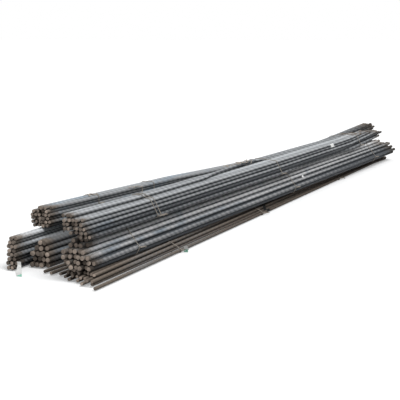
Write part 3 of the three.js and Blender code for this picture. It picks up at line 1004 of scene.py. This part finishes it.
class STACK_OT_add_scraps(bpy.types.Operator):
    """Drape small scraps of card over the bars"""

    bl_idname = "stack.add_scraps"
    bl_label = "Add scraps"
    bl_options = {"REGISTER", "UNDO"}

    def execute(self, context):
        for number, (bundle, (near, far), (right, left)) in enumerate(SCRAPS, 1):
            bars = bars_of(bundle)
            bpy.ops.object.select_all(action="DESELECT")
            bpy.ops.mesh.primitive_grid_add(
                x_subdivisions=SCRAP_CELLS[0], y_subdivisions=SCRAP_CELLS[1], size=1.0)
            piece = context.active_object
            piece.name = f"card_scrap_{number}"
            points = points_of(piece.data)
            points[:, 0] = near + (points[:, 0] + 0.5) * (far - near)
            points[:, 1] = right + (points[:, 1] + 0.5) * (left - right)
            points[:, 2] = [height_over(bars, x, y) for x, y in points[:, :2]]
            points[:, 2] += SCRAP_THICKNESS + RIB_LIFT
            set_points(piece.data, points)
            sheet = piece.modifiers.new("thickness", "SOLIDIFY")
            sheet.thickness = SCRAP_THICKNESS
            bpy.ops.object.modifier_apply(modifier=sheet.name)
            low, high = points.min(axis=0), points.max(axis=0)
            piece.data.materials.append(card_material(piece.name, 1, low, high, 0.0))
            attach(piece, "root")
        return {"FINISHED"}


class STACK_OT_add_loose_wire(bpy.types.Operator):
    """Lay cut ends of tie wire loosely over the top bundles"""

    bl_idname = "stack.add_loose_wire"
    bl_label = "Add loose wire"
    bl_options = {"REGISTER", "UNDO"}

    def execute(self, context):
        bars = bars_of(*BUNDLES)
        steel = wire_material("bright_wire", 1.5)
        for number, (start, end, width, turns) in enumerate(LOOSE_WIRES, 1):
            path = curl(bars, start, end, width, turns, random.Random(number))
            piece = wire_mesh([path], f"loose_wire_{number}", False, steel)
            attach(piece, "root")
        return {"FINISHED"}


# ---- Studio ------------------------------------------------------------------------------


def seen_plainly(tree):
    """1 where the camera sees something, also in a mirror or through glass, and 0 for other light."""
    path = tree.nodes.new("ShaderNodeLightPath")
    seen = path.outputs["Is Camera Ray"]
    for ray in ("Is Glossy Ray", "Is Transmission Ray"):
        either = tree.nodes.new("ShaderNodeMath")
        either.operation = "MAXIMUM"
        tree.links.new(seen, either.inputs[0])
        tree.links.new(path.outputs[ray], either.inputs[1])
        seen = either.outputs[0]
    return seen


def background(tree, color, strength):
    """Even light from all round."""
    light = tree.nodes.new("ShaderNodeBackground")
    light.inputs["Color"].default_value = color
    light.inputs["Strength"].default_value = strength
    return light.outputs[0]


class STACK_OT_add_studio(bpy.types.Operator):
    """Lay the floor, set the light and place the camera"""

    bl_idname = "stack.add_studio"
    bl_label = "Add studio"
    bl_options = {"REGISTER", "UNDO"}

    def execute(self, context):
        scene = context.scene
        studio = scene.stack_studio
        scene.view_settings.view_transform = "Standard"

        bpy.ops.object.select_all(action="DESELECT")
        bpy.ops.mesh.primitive_plane_add(size=FLOOR_SIZE, location=(0, 0, -FLOOR_DROP))
        floor = context.active_object
        floor.name = "studio_floor"
        bake_place(floor)
        n = Nodes("studio_floor")
        shown = seen_plainly(n.tree)
        n.set("Base Color", n.mix(shown, (studio.ground,) * 3, tuple(studio.floor)))
        n.set("Roughness", 1.0)
        n.set("Specular IOR Level", 0.0)
        n.set("Emission Color", (1.0, 1.0, 1.0))
        n.set("Emission Strength", n.math("MULTIPLY", shown, FLOOR_GLOW))
        floor.data.materials.append(n.material)

        world = bpy.data.worlds.new("studio_sky")
        world.use_nodes = True
        scene.world = world
        tree = world.node_tree
        tree.nodes.clear()
        output = tree.nodes.new("ShaderNodeOutputWorld")
        mix = tree.nodes.new("ShaderNodeMixShader")
        tree.links.new(seen_plainly(tree), mix.inputs[0])
        tree.links.new(background(tree, SKY_TINT, studio.sky), mix.inputs[1])
        tree.links.new(background(tree, (1.0, 1.0, 1.0, 1.0), 1.0), mix.inputs[2])
        tree.links.new(mix.outputs[0], output.inputs[0])

        bpy.ops.object.select_all(action="DESELECT")
        bpy.ops.object.light_add(type="SUN", location=(0, 0, 6))
        lamp = context.active_object
        lamp.name = "studio_lamp"
        lamp.data.energy = studio.lamp
        lamp.data.angle = LAMP_SPREAD
        lamp.rotation_euler = Vector(LAMP_DIRECTION).to_track_quat("Z", "Y").to_euler()

        bpy.ops.object.select_all(action="DESELECT")
        bpy.ops.object.camera_add()
        camera = context.active_object
        camera.name = "studio_camera"
        camera.data.lens = studio.lens
        camera.data.sensor_width = CAMERA_SENSOR
        camera.data.clip_end = 200.0
        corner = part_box("middle_front_row_4")[0]
        anchor = Vector((corner[0], corner[1], 0.0))
        square = math.radians(90)
        heading = Matrix.Rotation(CAMERA_HEADING - square, 4, "Z")
        dip = Matrix.Rotation(square - CAMERA_DIP, 4, "X")
        roll = Matrix.Rotation(CAMERA_ROLL, 4, "Z")
        place = Matrix.Translation(anchor + Vector(CAMERA_OFFSET))
        camera.matrix_world = place @ heading @ dip @ roll
        scene.camera = camera
        return {"FINISHED"}


# ---- Panel and registration --------------------------------------------------------------


class STACK_PT_panel(bpy.types.Panel):
    """Sizes, colours and steps of the bar stack"""

    bl_idname = "STACK_PT_panel"
    bl_label = "Bar stack"
    bl_space_type = "VIEW_3D"
    bl_region_type = "UI"
    bl_category = "Bar stack"

    def draw(self, context):
        layout = self.layout
        for group in (context.scene.stack_bars, context.scene.stack_finish, context.scene.stack_studio):
            box = layout.box()
            for key in group.__annotations__:
                box.prop(group, key)
        for operator in ("stack.add_bars", "stack.add_ties", "stack.add_tags", "stack.add_loose_wire",
                         "stack.add_scraps", "stack.add_studio"):
            layout.operator(operator)


CLASSES = (
    StackBarSettings, StackFinishSettings, StackStudioSettings, STACK_OT_add_bars, STACK_OT_add_ties,
    STACK_OT_add_tags, STACK_OT_add_loose_wire, STACK_OT_add_scraps, STACK_OT_add_studio,
    STACK_PT_panel,
)


def register():
    for cls in CLASSES:
        bpy.utils.register_class(cls)
    bpy.types.Scene.stack_bars = bpy.props.PointerProperty(type=StackBarSettings)
    bpy.types.Scene.stack_finish = bpy.props.PointerProperty(type=StackFinishSettings)
    bpy.types.Scene.stack_studio = bpy.props.PointerProperty(type=StackStudioSettings)


def unregister():
    del bpy.types.Scene.stack_studio
    del bpy.types.Scene.stack_finish
    del bpy.types.Scene.stack_bars
    for cls in reversed(CLASSES):
        bpy.utils.unregister_class(cls)


def main():
    register()
    for bundle in BUNDLES:
        bpy.ops.stack.add_bars(bundle=bundle)
    bpy.ops.stack.add_ties()
    bpy.ops.stack.add_tags()
    bpy.ops.stack.add_loose_wire()
    bpy.ops.stack.add_scraps()
    bpy.ops.stack.add_studio()


if __name__ == "__main__":
    main()
